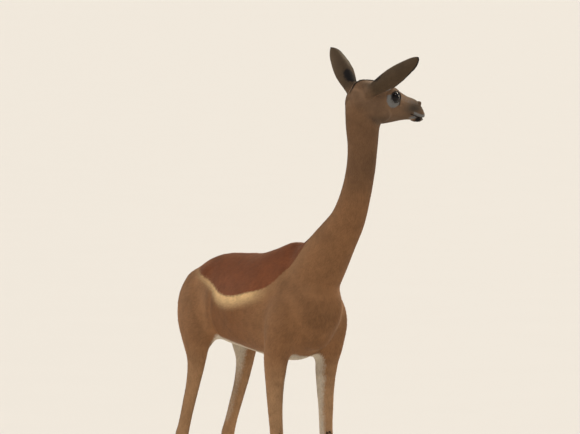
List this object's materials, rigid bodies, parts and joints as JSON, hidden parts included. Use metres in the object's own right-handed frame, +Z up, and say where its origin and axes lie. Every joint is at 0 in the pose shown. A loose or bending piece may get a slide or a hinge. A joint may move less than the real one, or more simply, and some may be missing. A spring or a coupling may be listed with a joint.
{
  "type": "gerenuk",
  "caption": "Life-size standing gerenuk doe, a long-necked antelope, with its head turned to look over the left shoulder.",
  "frame": {"origin": "on the ground, in the middle of the bounding box", "axes": "+X the way the body faces, +Y the animal's left, +Z up"},
  "size_m": [1.0726, 0.3738, 1.4552],
  "materials": {
    "coat_tan": "short smooth reddish tan coat",
    "coat_saddle": "short smooth red-brown coat over a pale belly",
    "coat_dark": "short grey-brown to black hair",
    "eye": "wet, very dark brown",
    "hoof": "satin black horn"
  },
  "bodies": {
    "root": {"head": "coat_tan", "neck": "coat_tan", "torso": "coat_saddle", "tail": "coat_dark", "foreleg_left": "coat_tan", "foreleg_right": "coat_tan", "hindleg_left": "coat_tan", "hindleg_right": "coat_tan", "hoof_fore_left": "hoof", "hoof_fore_right": "hoof", "hoof_hind_left": "hoof", "hoof_hind_right": "hoof", "ear_left": "coat_dark", "ear_right": "coat_dark", "eye_left": "eye", "eye_right": "eye"}
  },
  "joints": []
}
